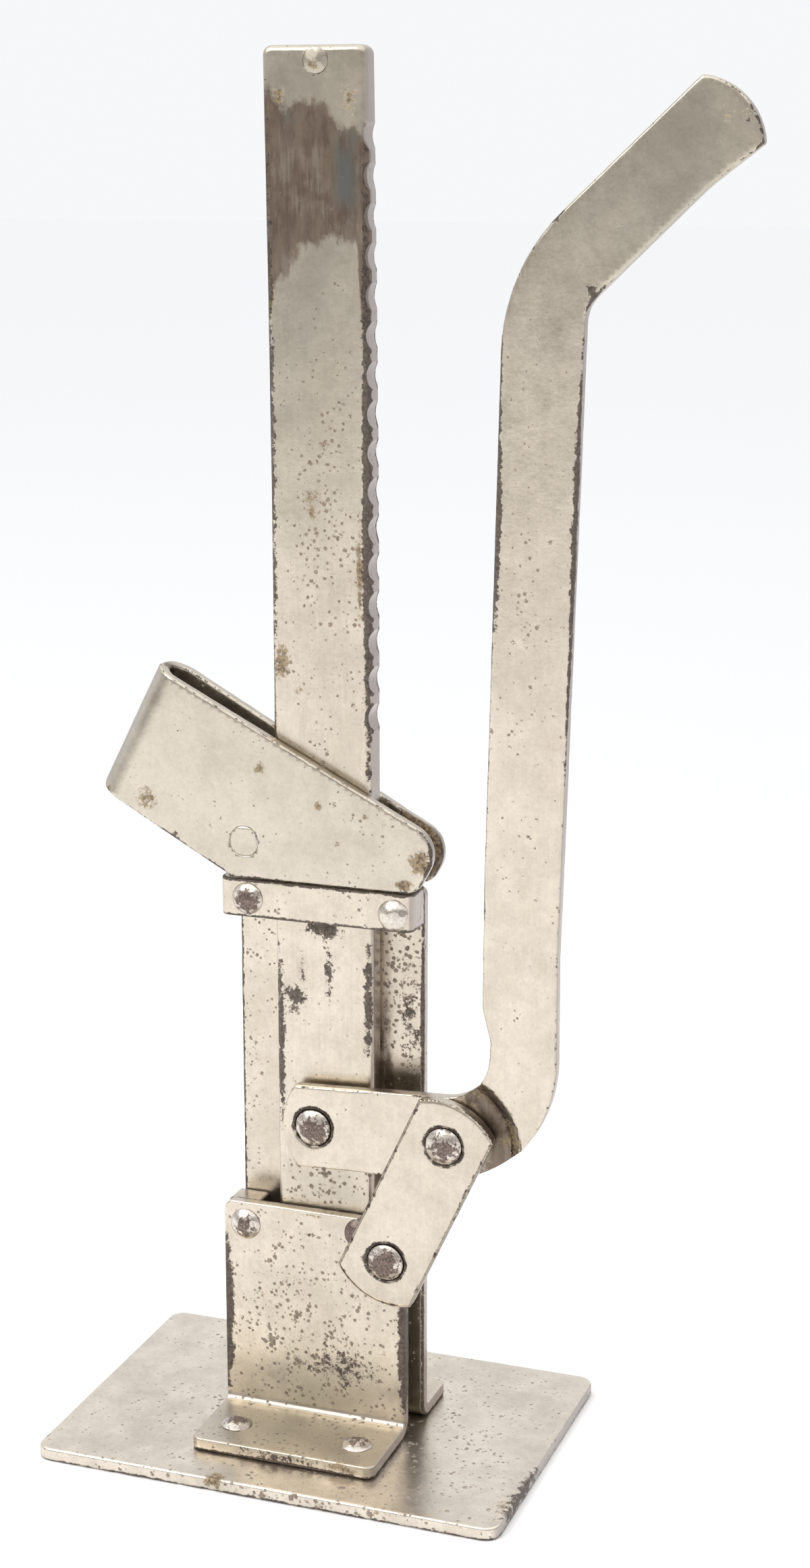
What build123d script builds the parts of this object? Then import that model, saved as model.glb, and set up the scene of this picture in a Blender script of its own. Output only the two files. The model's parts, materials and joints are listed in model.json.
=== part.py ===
from build123d import *

import math
import os

# Small lever-and-rack jack of pressed and riveted plated steel, in millimetres.
# X runs to the jack's right, Y to its back and Z up. The origin is the centre of the base plate's
# underside. Pulling the lever down to the right lifts the rack bar and the clip that hangs on it.

# Base plate
BASE_LENGTH = 71.2
BASE_DEPTH = 49.2
BASE_THICKNESS = 2.0
BASE_CORNER = 2.4

# Mast: the front bracket and the spacers, with the upright set a little further right
MAST_LEFT = -13.8
MAST_WIDTH = 28.45
UPRIGHT_SHIFT = 0.75
SHEET = 1.9
BAR_GAP = 4.1
UPRIGHT_TOP = 84.8
BRACKET_TOP = 35.7
FRONT_FOOT_REACH = 17.5
REAR_FOOT_REACH = 12.6
BEND_OUTSIDE = 2.8
BEND_INSIDE = 0.9
SHEET_CORNER = 1.5
SHEET_EDGE = 0.25
SPACER_WIDTH = 4.9
SPACER_BOTTOM = 24.0
SPACER_TOP = 35.3

# Guide strap at the top of the mast
STRAP_LEFT = -13.95
STRAP_RIGHT = 15.45
STRAP_THICKNESS = 1.3
STRAP_BOTTOM = 79.4
STRAP_TOP = 85.05
STRAP_BEND = 1.5

# Rack bar
BAR_LEFT = -5.9
BAR_RIGHT = 9.05
BAR_THICKNESS = 3.9
BAR_BOTTOM = 34.7
BAR_TOP = 200.0
BAR_CORNER = 1.3
BAR_EDGE = 0.9
NOTCH_COUNT = 16
NOTCH_PITCH = 5.25
NOTCH_FIRST = 109.55
NOTCH_RADIUS = 2.9
NOTCH_DEPTH = 0.62
NOTCH_LIP = 0.45

# Pivots, as (X, Z): A holds the lever to the bar, B the link to the lever, C the link to the mast
PIVOT_A = (0.9, 49.25)
PIVOT_B = (21.65, 50.0)
PIVOT_C = (12.9, 31.1)
PIN_RADIUS = 2.7
PIN_SHANK = 1.8
BASE_PIN_SHANK = 1.1
PIN_DOME = 1.0
PIN_PROUD = 0.1
RUNNING_CLEARANCE = 0.08
HOLE_CHAMFER = 0.25
LINKAGE_CLEARANCE = 1.4

# Layers in front of the bar, as distances towards the front
ARM_BACK = 3.0
ARM_THICKNESS = 2.0
LINK_BACK = 5.45
LINK_THICKNESS = 1.9

# Lever, as (X, Z) corners and the radii that round them
ARM_LOW = (-1.6, 42.9)
ARM_HIGH = (-2.0, 55.35)
ARM_END_BULGE = 2.1
HEEL_OUTER = (38.2, 44.3)
HEEL_OUTER_RADIUS = 20.5
HEEL_INNER = (28.0, 56.7)
HEEL_INNER_RADIUS = 8.0
SHAFT_NICK = ((27.2, 71.0), (28.4, 66.2))
SHAFT_WAIST_LEFT = (27.3, 88.0)
SHAFT_WAIST_RIGHT = (38.0, 79.0)
BEND_OUTER = (29.3, 171.6)
BEND_OUTER_RADIUS = 25.5
BEND_INNER = (40.5, 166.9)
BEND_INNER_RADIUS = 5.0
GRIP_BEND = (56.0, 181.8)
GRIP_LOW = (63.1, 187.25)
GRIP_HIGH = (54.95, 195.65)
GRIP_END_BULGE = 2.1
JOGGLE_RADIUS = 9.5
JOGGLE_ANGLE = math.radians(-32.0)
JOGGLE_RUN = 1.9
JOGGLE_BACK_OFFSET = 1.0

# Link
LINK_WIDTH = 12.2
LINK_END = 4.3
LINK_BULGE = 2.1

# Lifting clip: a strip folded round the bar and cut flat where it rests on the mast
CLIP_TILT = math.radians(27.0)
CLIP_LOWER_SLOPE = math.radians(29.0)
CLIP_LENGTH = 49.3
CLIP_WIDTH = 20.5
CLIP_THICKNESS = 1.7
CLIP_GAP = 4.5
CLIP_REAR_DROP = 1.4
CLIP_CORNER = (-33.0, 97.1)
CLIP_REST = 85.4
CLIP_END_RADIUS = 4.4
CLIP_HEEL_RADIUS = 2.6
DOG_CENTRE = (11.8, 91.2)
DOG_RADIUS = 2.4
DOG_SEAT = 0.9
BEARING_CENTRE = (-9.75, 90.8)
BEARING_RADIUS = 2.2

# Rivets: shank, head radius and head height
RIVET_SHANK = 1.2
RIVET_HEAD = 2.35
RIVET_RIM = 0.1
RIVET_DOME = 1.15
RIVET_TAIL = 1.9
RIVET_TAIL_DOME = 0.6
STOP_SHANK = 1.3
BAR_RIVET_HEAD = 1.75
BAR_RIVET_DOME = 0.35
FOOT_DOME = 0.8

GAP_HALF = BAR_GAP / 2
SHEET_FACE = GAP_HALF + SHEET
FOOT_TOP = BASE_THICKNESS + SHEET
STRAP_RIVETS = ((-9.55, 82.2), (12.75, 81.85))
FRAME_RIVET = (-10.35, 32.3)
STOP_RIVET = (7.65, BAR_BOTTOM - 0.1 - STOP_SHANK)
FRONT_FOOT_RIVETS = ((-9.0, -11.4), (9.9, -11.4))
REAR_FOOT_RIVETS = ((-9.0, 9.0), (9.9, 9.0))
BAR_RIVET = (1.35, 198.0)


def outline(corners):
    """Closed face through (x, y, radius, bulge) corners. bulge arches the side that follows."""
    count = len(corners)
    trimmed = []
    for i, (x, y, radius, _) in enumerate(corners):
        here = Vector(x, y)
        back = (Vector(*corners[i - 1][:2]) - here).normalized()
        ahead = (Vector(*corners[(i + 1) % count][:2]) - here).normalized()
        half = math.radians(back.get_angle(ahead)) / 2
        reach = radius / math.tan(half)
        middle = here + (back + ahead).normalized() * (radius / math.sin(half) - radius)
        trimmed.append((here + back * reach, middle, here + ahead * reach, radius))
    edges = []
    for i, (start, middle, end, radius) in enumerate(trimmed):
        if radius > 0:
            edges.append(ThreePointArc(start, middle, end))
        following = trimmed[(i + 1) % count][0]
        bulge = corners[i][3]
        if bulge:
            side = (following - end).normalized()
            arch = (end + following) / 2 + Vector(side.Y, -side.X) * bulge
            edges.append(ThreePointArc(end, arch, following))
        else:
            edges.append(Line(end, following))
    return make_face(edges)


def front_plate(shape, front, back):
    """Extrude a shape drawn in X and Z between two depths measured towards the front."""
    return extrude(Plane.XZ.offset(back) * shape, front - back)


def round_bar(centre, radius, front, back):
    """Cylinder along Y between two depths measured towards the front."""
    return front_plate(Pos(*centre) * Circle(radius), front, back)


def cap(radius, height):
    """Domed cap that stands on the XY plane."""
    ball = (radius**2 + height**2) / (2 * height)
    return Pos(0, 0, height - ball) * Sphere(ball) & Pos(0, 0, height) * Cylinder(radius, 2 * height)


def rivet(steps, dome, tail_dome=0.0):
    """Stepped pin along Z. steps lists (radius, length) downwards from under the domed head."""
    body = cap(steps[0][0], dome)
    level = 0.0
    for radius, length in steps:
        body += Pos(0, 0, level - length / 2) * Cylinder(radius, length)
        level -= length
    if tail_dome:
        body += Pos(0, 0, level) * Rot(180, 0, 0) * cap(steps[-1][0], tail_dome)
    return body


def facing_front(centre, depth, body):
    """Place a body built along Z so that its head faces the front at a depth."""
    return Pos(centre[0], -depth, centre[1]) * Rot(90, 0, 0) * body


def countersink(centre, radius, face):
    """Cutter that breaks the front edge of a hole."""
    cone = Cone(radius, radius + HOLE_CHAMFER, HOLE_CHAMFER, align=(Align.CENTER, Align.CENTER, Align.MIN))
    return facing_front(centre, face - HOLE_CHAMFER, cone)


def make_base_plate():
    plate = extrude(Rectangle(BASE_LENGTH, BASE_DEPTH), BASE_THICKNESS)
    plate = fillet(plate.edges().filter_by(Axis.Z), BASE_CORNER)
    plate = fillet(plate.edges().group_by(Axis.Z)[-1], 0.4)
    for x, y in FRONT_FOOT_RIVETS + REAR_FOOT_RIVETS:
        plate -= Pos(x, y, 0) * Cylinder(RIVET_SHANK, 3 * BASE_THICKNESS)
    return plate


def angle_plate(sign, left, top, reach):
    """Upright sheet with a foot bent away from the bar, on the back (1) or the front (-1)."""
    section = outline([
        (sign * GAP_HALF, top, 0, 0),
        (sign * GAP_HALF, BASE_THICKNESS, BEND_OUTSIDE, 0),
        (sign * reach, BASE_THICKNESS, 0, 0),
        (sign * reach, FOOT_TOP, 0, 0),
        (sign * SHEET_FACE, FOOT_TOP, BEND_INSIDE, 0),
        (sign * SHEET_FACE, top, 0, 0),
    ])
    plate = Pos(left, 0, 0) * extrude(Plane.YZ * section, MAST_WIDTH, dir=(1, 0, 0))
    plate = fillet(plate.edges().filter_by(Axis.Y).group_by(Axis.Z)[-1], SHEET_CORNER)
    foot_ends = plate.edges().filter_by(Axis.Z).group_by(Axis.Y)[-1 if sign > 0 else 0]
    plate = fillet(foot_ends, SHEET_CORNER)
    outer_face = plate.faces().filter_by(Axis.Y).sort_by(Axis.Y)[-2 if sign > 0 else 1]
    plate = fillet(outer_face.edges().group_by(Axis.Z)[-1], SHEET_EDGE)
    return plate


def make_upright():
    plate = angle_plate(1, MAST_LEFT + UPRIGHT_SHIFT, UPRIGHT_TOP, REAR_FOOT_REACH)
    for centre in STRAP_RIVETS + (FRAME_RIVET,):
        plate -= round_bar(centre, RIVET_SHANK, 0, -2 * SHEET_FACE)
    plate -= round_bar(STOP_RIVET, STOP_SHANK, 0, -2 * SHEET_FACE)
    plate -= round_bar(PIVOT_C, BASE_PIN_SHANK, 0, -2 * SHEET_FACE)
    for x, y in REAR_FOOT_RIVETS:
        plate -= Pos(x, y, BASE_THICKNESS) * Cylinder(RIVET_SHANK, 4 * SHEET)
    return plate


def make_front_bracket():
    plate = angle_plate(-1, MAST_LEFT, BRACKET_TOP, FRONT_FOOT_REACH)
    plate -= round_bar(FRAME_RIVET, RIVET_SHANK, 2 * SHEET_FACE, 0)
    plate -= round_bar(STOP_RIVET, STOP_SHANK, 2 * SHEET_FACE, 0)
    plate -= round_bar(PIVOT_C, BASE_PIN_SHANK, 2 * SHEET_FACE, 0)
    for x, y in FRONT_FOOT_RIVETS:
        plate -= Pos(x, y, BASE_THICKNESS) * Cylinder(RIVET_SHANK, 4 * SHEET)
    return plate


def make_spacer(left, hole, hole_radius):
    block = Pos(left, -GAP_HALF, SPACER_BOTTOM) * Box(
        SPACER_WIDTH, BAR_GAP, SPACER_TOP - SPACER_BOTTOM, align=(Align.MIN, Align.MIN, Align.MIN))
    block = fillet(block.edges().filter_by(Axis.Y), 0.5)
    return block - round_bar(hole, hole_radius, SHEET_FACE, -SHEET_FACE)


def make_guide_strap():
    front = -GAP_HALF - STRAP_THICKNESS
    inner_bend = STRAP_BEND - STRAP_THICKNESS
    section = outline([
        (STRAP_LEFT, GAP_HALF, 0, 0),
        (STRAP_LEFT, front, STRAP_BEND, 0),
        (STRAP_RIGHT, front, STRAP_BEND, 0),
        (STRAP_RIGHT, GAP_HALF, 0, 0),
        (STRAP_RIGHT - STRAP_THICKNESS, GAP_HALF, 0, 0),
        (STRAP_RIGHT - STRAP_THICKNESS, -GAP_HALF, inner_bend, 0),
        (STRAP_LEFT + STRAP_THICKNESS, -GAP_HALF, inner_bend, 0),
        (STRAP_LEFT + STRAP_THICKNESS, GAP_HALF, 0, 0),
    ])
    strap = Pos(0, 0, STRAP_BOTTOM) * extrude(section, STRAP_TOP - STRAP_BOTTOM, dir=(0, 0, 1))
    for centre in STRAP_RIVETS:
        strap -= round_bar(centre, RIVET_SHANK, SHEET_FACE, -SHEET_FACE)
    return strap


def mast_rivet(centre, face, shank):
    """Domed rivet from a front face through the mast to the back of the upright."""
    steps = [(RIVET_HEAD, RIVET_RIM), (shank, face + SHEET_FACE), (RIVET_TAIL, RIVET_RIM)]
    return facing_front(centre, face + RIVET_RIM, rivet(steps, RIVET_DOME, RIVET_TAIL_DOME))


def foot_rivet(centre):
    body = rivet([(RIVET_HEAD, RIVET_RIM), (RIVET_SHANK, FOOT_TOP)], FOOT_DOME)
    return Pos(*centre, FOOT_TOP + RIVET_RIM) * body


def make_rack_bar():
    """Round-edged stock with a row of shallow notches rolled into its right side."""
    corners = [
        (BAR_LEFT, BAR_BOTTOM, 0, 0),
        (BAR_RIGHT, BAR_BOTTOM, 0, 0),
        (BAR_RIGHT, BAR_TOP, BAR_CORNER, 0),
        (BAR_LEFT, BAR_TOP, BAR_CORNER, 0),
    ]
    half = BAR_THICKNESS / 2
    stock = front_plate(outline(corners), half, -half)
    stock = fillet(stock.edges().filter_by(Axis.Z), BAR_EDGE)
    notched = outline(corners)
    for i in range(NOTCH_COUNT):
        centre = (BAR_RIGHT + NOTCH_RADIUS - NOTCH_DEPTH, NOTCH_FIRST + i * NOTCH_PITCH)
        notched -= Pos(*centre) * Circle(NOTCH_RADIUS)
    reach = NOTCH_COUNT * NOTCH_PITCH
    lips = [v for v in notched.vertices()
            if abs(v.X - BAR_RIGHT) < 0.01 and NOTCH_FIRST - NOTCH_PITCH < v.Y < NOTCH_FIRST + reach]
    bar = stock & front_plate(fillet(lips, NOTCH_LIP), half, -half)
    bar -= round_bar(PIVOT_A, PIN_SHANK, half, -half)
    return bar - round_bar(BAR_RIVET, RIVET_SHANK, half, -half)


def joggle_region(offset, lever_side):
    """Area beside the step in the lever: the arm's side, or the shaft's side of the same curve."""
    x, z = PIVOT_B
    radius = JOGGLE_RADIUS + offset
    top = Vector(x, z + radius)
    corner = Vector(x + radius * math.cos(JOGGLE_ANGLE), z + radius * math.sin(JOGGLE_ANGLE))
    middle_angle = (math.pi / 2 + JOGGLE_ANGLE) / 2
    middle = Vector(x + radius * math.cos(middle_angle), z + radius * math.sin(middle_angle))
    low = corner + Vector(math.sin(JOGGLE_ANGLE), -math.cos(JOGGLE_ANGLE)) * 40
    if lever_side == "arm":
        far = [Vector(x - 60, low.Y), Vector(x - 60, top.Y)]
    else:
        far = [Vector(x + 120, low.Y), Vector(x + 120, BAR_TOP + 60), Vector(x, BAR_TOP + 60)]
    edges = [ThreePointArc(top, middle, corner)]
    path = [corner, low] + far + [top]
    edges += [Line(a, b) for a, b in zip(path, path[1:])]
    return make_face(edges)


def lever_outline():
    return outline([
        (*ARM_LOW, 0, 0),
        (*HEEL_OUTER, HEEL_OUTER_RADIUS, 0),
        (*SHAFT_WAIST_RIGHT, 40.0, 0),
        (*BEND_INNER, BEND_INNER_RADIUS, 0),
        (*GRIP_BEND, 15.0, 0),
        (*GRIP_LOW, 0, GRIP_END_BULGE),
        (*GRIP_HIGH, 0, 0),
        (*BEND_OUTER, BEND_OUTER_RADIUS, 0),
        (*SHAFT_WAIST_LEFT, 40.0, 0),
        (*SHAFT_NICK[0], 4.0, 0),
        (*SHAFT_NICK[1], 1.5, 0),
        (*HEEL_INNER, HEEL_INNER_RADIUS, 0),
        (*ARM_HIGH, 0, ARM_END_BULGE),
    ])


def make_lever():
    shaft_front = LINK_BACK + LINK_THICKNESS
    shaft_back = shaft_front - ARM_THICKNESS
    arm_front = ARM_BACK + ARM_THICKNESS
    lever = front_plate(lever_outline(), shaft_front, ARM_BACK)
    front_cut = loft([
        Plane.XZ.offset(arm_front) * joggle_region(0, "arm"),
        Plane.XZ.offset(shaft_front + 0.1) * joggle_region(JOGGLE_RUN * 1.05, "arm"),
    ], ruled=True)
    back_cut = loft([
        Plane.XZ.offset(ARM_BACK - 0.1) * joggle_region(JOGGLE_BACK_OFFSET - 0.05 * JOGGLE_RUN, "shaft"),
        Plane.XZ.offset(shaft_back) * joggle_region(JOGGLE_BACK_OFFSET + JOGGLE_RUN, "shaft"),
    ], ruled=True)
    lever = lever - front_cut - back_cut
    hole = PIN_RADIUS + RUNNING_CLEARANCE
    lever -= round_bar(PIVOT_A, hole, 2 * shaft_front, 0)
    lever -= countersink(PIVOT_A, hole, arm_front)
    return lever - round_bar(PIVOT_B, PIN_SHANK + LINKAGE_CLEARANCE, 2 * shaft_front, 0)


def make_link():
    span = Vector(*PIVOT_B) - Vector(*PIVOT_C)
    half = LINK_WIDTH / 2
    blank = outline([
        (-LINK_END, -half, 0, 0),
        (span.length + LINK_END, -half, 0, LINK_BULGE),
        (span.length + LINK_END, half, 0, 0),
        (-LINK_END, half, 0, LINK_BULGE),
    ])
    angle = math.degrees(math.atan2(span.Y, span.X))
    front = LINK_BACK + LINK_THICKNESS
    link = front_plate(Pos(*PIVOT_C) * Rot(0, 0, angle) * blank, front, LINK_BACK)
    link = chamfer(link.edges().group_by(Axis.Y)[0], SHEET_EDGE)
    hole = PIN_RADIUS + RUNNING_CLEARANCE
    for centre, radius in ((PIVOT_B, PIN_RADIUS), (PIVOT_C, hole)):
        link -= round_bar(centre, radius, 2 * front, 0)
        link -= countersink(centre, radius, front)
    return link


def clip_profile(rear_drop):
    """Side view of one clip plate. The rear plate's top edge drops towards its right end."""
    along = Vector(math.cos(CLIP_TILT), -math.sin(CLIP_TILT))
    across = Vector(math.sin(CLIP_TILT), math.cos(CLIP_TILT))
    corner = Vector(*CLIP_CORNER)
    end_low = corner + along * CLIP_LENGTH
    end_high = end_low + across * (CLIP_WIDTH - rear_drop)
    fold_high = corner + across * CLIP_WIDTH
    fold_side = fold_high + along * (CLIP_GAP + 2 * CLIP_THICKNESS) / 2
    toe = corner.X + (corner.Y - CLIP_REST) / math.tan(CLIP_LOWER_SLOPE)
    heel = end_low.X + (CLIP_REST - end_low.Y) * math.tan(CLIP_TILT)
    return outline([
        (corner.X, corner.Y, 1.2, 0),
        (toe, CLIP_REST, 1.0, 0),
        (heel, CLIP_REST, CLIP_HEEL_RADIUS, 0),
        (end_high.X, end_high.Y, CLIP_END_RADIUS, 0),
        (fold_side.X, fold_side.Y, 0, 0),
        (fold_high.X, fold_high.Y, 0.8, 0),
    ])


def make_clip_body():
    along = Vector(math.cos(CLIP_TILT), 0, -math.sin(CLIP_TILT))
    across = Vector(math.sin(CLIP_TILT), 0, math.cos(CLIP_TILT))
    outer = CLIP_GAP / 2 + CLIP_THICKNESS
    inner = CLIP_GAP / 2
    reach = 2 * CLIP_LENGTH
    start = Vector(CLIP_CORNER[0], 0, CLIP_CORNER[1]) - across * CLIP_WIDTH
    fold = Plane(origin=start, x_dir=along, z_dir=across)
    section = Pos(outer + reach / 2, 0) * Rectangle(reach, 2 * outer) + Pos(outer, 0) * Circle(outer)
    section -= Pos(outer + reach / 2, 0) * Rectangle(reach, 2 * inner)
    section -= Pos(outer, 0) * Circle(inner)
    strip = extrude(fold * section, 3 * CLIP_WIDTH, dir=across)
    front_side = front_plate(clip_profile(0.0), 2 * outer, 0)
    rear_side = front_plate(clip_profile(CLIP_REAR_DROP), 0, -2 * outer)
    clip = strip & (front_side + rear_side)
    clip -= round_bar(BEARING_CENTRE, BEARING_RADIUS, 2 * outer, -2 * outer)
    seat = inner + DOG_SEAT
    return clip - round_bar(DOG_CENTRE, DOG_RADIUS + RUNNING_CLEARANCE, seat, -seat)


def washer(centre, outside, inside, front, back):
    return round_bar(centre, outside, front, back) - round_bar(centre, inside, front, back)


def make_lever_pin():
    front = ARM_BACK + ARM_THICKNESS + PIN_PROUD
    shoulder = ARM_BACK - 0.1
    half = BAR_THICKNESS / 2
    steps = [(PIN_RADIUS, front - shoulder), (PIN_SHANK, shoulder + half)]
    return facing_front(PIVOT_A, front, rivet(steps, PIN_DOME))


def make_link_pin():
    front = LINK_BACK + LINK_THICKNESS + PIN_PROUD
    steps = [(PIN_RADIUS, front - LINK_BACK), (PIN_SHANK, LINK_BACK - 2.0), (PIN_RADIUS, RIVET_RIM)]
    return facing_front(PIVOT_B, front, rivet(steps, PIN_DOME, RIVET_TAIL_DOME))


def make_base_pin():
    front = LINK_BACK + LINK_THICKNESS + PIN_PROUD
    shoulder = LINK_BACK - 0.1
    steps = [(PIN_RADIUS, front - shoulder), (BASE_PIN_SHANK, shoulder + SHEET_FACE),
             (RIVET_TAIL, RIVET_RIM)]
    return facing_front(PIVOT_C, front, rivet(steps, PIN_DOME, RIVET_TAIL_DOME))


def make_bar_rivet():
    half = BAR_THICKNESS / 2
    steps = [(BAR_RIVET_HEAD, RIVET_RIM), (RIVET_SHANK, BAR_THICKNESS), (BAR_RIVET_HEAD, RIVET_RIM)]
    return facing_front(BAR_RIVET, half + RIVET_RIM, rivet(steps, BAR_RIVET_DOME, BAR_RIVET_DOME))


clip_face = CLIP_GAP / 2 + CLIP_THICKNESS
dog_end = CLIP_GAP / 2 + DOG_SEAT - 0.05
strap_face = GAP_HALF + STRAP_THICKNESS
right_spacer_left = MAST_LEFT + MAST_WIDTH - SPACER_WIDTH

nodes = {
    "base_plate": make_base_plate(),
    "upright": make_upright(),
    "front_bracket": make_front_bracket(),
    "left_spacer": make_spacer(MAST_LEFT, FRAME_RIVET, RIVET_SHANK),
    "right_spacer": make_spacer(right_spacer_left, PIVOT_C, BASE_PIN_SHANK),
    "guide_strap": make_guide_strap(),
    "strap_rivets": Compound([mast_rivet(c, strap_face, RIVET_SHANK).solid() for c in STRAP_RIVETS]),
    "frame_rivet": mast_rivet(FRAME_RIVET, SHEET_FACE, RIVET_SHANK),
    "stop_rivet": mast_rivet(STOP_RIVET, SHEET_FACE, STOP_SHANK),
    "front_foot_rivets": Compound([foot_rivet(c).solid() for c in FRONT_FOOT_RIVETS]),
    "rear_foot_rivets": Compound([foot_rivet(c).solid() for c in REAR_FOOT_RIVETS]),
    "base_washer": washer(PIVOT_C, 3.2, BASE_PIN_SHANK, LINK_BACK - 0.1, SHEET_FACE),
    "base_pin": make_base_pin(),
    "rack_bar": make_rack_bar(),
    "bar_rivet": make_bar_rivet(),
    "arm_washer": washer(PIVOT_A, 4.2, PIN_SHANK, ARM_BACK - 0.1, BAR_THICKNESS / 2),
    "lever_pin": make_lever_pin(),
    "lever": make_lever(),
    "link": make_link(),
    "link_washer": washer(PIVOT_B, 4.7, PIN_SHANK, ARM_BACK - 0.1, 2.0),
    "link_pin": make_link_pin(),
    "clip_body": make_clip_body(),
    "clip_bearing_pin": round_bar(BEARING_CENTRE, BEARING_RADIUS, clip_face, -clip_face),
    "clip_dog_pin": round_bar(DOG_CENTRE, DOG_RADIUS, dog_end, -dog_end),
}

os.makedirs("parts", exist_ok=True)
for name, shape in nodes.items():
    export_step(shape, f"parts/{name}.step")
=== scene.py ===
import json
import math
import random

import bmesh
import bpy
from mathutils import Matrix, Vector, kdtree, noise


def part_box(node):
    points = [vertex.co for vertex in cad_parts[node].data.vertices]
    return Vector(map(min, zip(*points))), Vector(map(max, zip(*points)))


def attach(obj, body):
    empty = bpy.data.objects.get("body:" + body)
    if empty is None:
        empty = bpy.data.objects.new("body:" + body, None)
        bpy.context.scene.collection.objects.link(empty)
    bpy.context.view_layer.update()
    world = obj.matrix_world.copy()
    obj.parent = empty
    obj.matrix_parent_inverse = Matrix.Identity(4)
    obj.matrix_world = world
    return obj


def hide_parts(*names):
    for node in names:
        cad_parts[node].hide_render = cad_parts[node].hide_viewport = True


# Plated steel lever-and-rack jack. Lengths are in metres, and MM turns millimetres into them.
# Every CAD node is shown by a piece cut from its own mesh, with worn edges and hammered heads.
# Colours are linear RGB. A pair of colours is the dark and the pale end of a mottled surface.

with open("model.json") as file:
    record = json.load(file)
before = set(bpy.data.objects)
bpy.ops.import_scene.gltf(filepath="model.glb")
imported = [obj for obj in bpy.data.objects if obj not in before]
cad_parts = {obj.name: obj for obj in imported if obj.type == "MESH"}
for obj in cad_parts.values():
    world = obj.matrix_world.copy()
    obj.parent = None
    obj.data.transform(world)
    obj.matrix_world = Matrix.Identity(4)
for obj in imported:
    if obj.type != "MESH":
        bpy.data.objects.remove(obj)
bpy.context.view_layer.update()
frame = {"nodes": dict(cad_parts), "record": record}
MM = 0.001
scene = bpy.context.scene

# Camera fitted to the photograph: place and lens in millimetres, angles in degrees
CAMERA_PLACE = (134.94, -335.06, 186.97)
CAMERA_LENS = 60.19
CAMERA_SENSOR_HEIGHT = 36.0
CAMERA_TILT_DOWN = 13.68
CAMERA_TURN = 19.96

FLOOR_REACH = 6.0
FLOOR_COLOUR = (0.90, 0.90, 0.90)
# painted shade on the floor behind the jack and far in front of it
FLOOR_SHADE_BEHIND = (0.68, 0.685, 0.70)
FLOOR_SHADE_FAR_IN_FRONT = (0.31, 0.30, 0.28)
SURROUND_IN_FRONT = (0.40, 0.385, 0.36)
SURROUND_BEHIND = (0.93, 0.935, 0.95)
SURROUND_ABOVE = (0.97, 0.97, 0.97)

DULL_PLATE = ((0.36, 0.335, 0.28), (0.42, 0.38, 0.31))
# painted shade for faces that look left or right
SIDE_FACE_SHADE = (0.31, 0.268, 0.268)
BROWN_FILM = ((0.125, 0.086, 0.066), (0.19, 0.15, 0.115))
WORN_FILM = (0.235, 0.20, 0.16)
SLATE_FILM = (0.125, 0.128, 0.122)
RUST = ((0.10, 0.056, 0.026), (0.34, 0.255, 0.145))
PIT = ((0.095, 0.062, 0.042), (0.25, 0.185, 0.13))
BARE_STEEL = ((0.036, 0.025, 0.021), (0.125, 0.092, 0.073))
STRUCK_HEAD = ((0.50, 0.45, 0.40), (0.76, 0.71, 0.65))
BROWN_HEAD = ((0.050, 0.031, 0.027), (0.19, 0.13, 0.108))

MERGE_DISTANCE = 0.002 * MM
FLAT_ANGLE = math.radians(0.4)     # faces that turn by less are one face
BEVEL_ANGLE = math.radians(40)     # edges that turn by more are rounded
WEAR_ANGLE = math.radians(19)      # edges that turn by more are worn
EDGE_STEP = 0.3 * MM               # spacing of the points that stand for an edge
NICK_REACH = 0.7 * MM              # how far in from an edge its nicks go
WARP_SIZE = 9 * MM
NICK_SIZES = (1.4 * MM, 0.5 * MM)
BLOW_SPREAD = 0.65                 # how far a blow on a head leans from straight on
JOGGLE_REACH = 14 * MM             # radius round the link pin that holds the lever's step
JOGGLE_PASSES = 18
LEAN = 0.6 * MM                    # how far the bar's top end is bent to the left
LEAN_FROM, LEAN_LENGTH = 120, 80   # millimetres up the bar


# ---------------------------------------------------------------- camera, floor and light

def make_camera():
    """The camera at the photograph's viewing angle."""
    data = bpy.data.cameras.new("camera")
    data.sensor_fit = "VERTICAL"
    data.sensor_height = CAMERA_SENSOR_HEIGHT
    data.lens = CAMERA_LENS
    camera = bpy.data.objects.new("camera", data)
    camera.location = tuple(c * MM for c in CAMERA_PLACE)
    camera.rotation_euler = (math.radians(90.0 - CAMERA_TILT_DOWN), 0.0, math.radians(CAMERA_TURN))
    scene.collection.objects.link(camera)
    scene.camera = camera


def make_floor():
    """White table top with painted shade: it turns faintly grey behind the jack and darker far in front of
    it.
    """
    mesh = bpy.data.meshes.new("floor")
    corners = [(x * FLOOR_REACH, y * FLOOR_REACH, 0) for x, y in ((-1, -1), (1, -1), (1, 1), (-1, 1))]
    mesh.from_pydata(corners, [], [(0, 1, 2, 3)])
    floor = bpy.data.objects.new("floor", mesh)
    scene.collection.objects.link(floor)
    tree, shader = new_material(floor, "floor")
    place = tree.nodes.new("ShaderNodeTexCoord").outputs["Object"]
    back = along(tree, place, (-0.28, 1.0, 0.0))
    front = along(tree, place, (0.0, -1.0, 0.0))
    colour = blend_colour(tree, step(tree, back, 0.26, 0.29), FLOOR_COLOUR, FLOOR_SHADE_BEHIND)
    colour = blend_colour(tree, step(tree, front, 0.6, 2.0), colour, FLOOR_SHADE_FAR_IN_FRONT)
    tree.links.new(colour, shader.inputs["Base Color"])
    shader.inputs["Roughness"].default_value = 0.9


def make_light(name, place, target, size, power):
    """White panel light of size metres at place, turned to target."""
    data = bpy.data.lights.new(name, "AREA")
    data.shape = "RECTANGLE"
    data.size, data.size_y = size
    data.energy = power
    light = bpy.data.objects.new(name, data)
    light.location = place
    light.rotation_euler = (Vector(target) - Vector(place)).to_track_quat("-Z", "Y").to_euler()
    scene.collection.objects.link(light)


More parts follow.
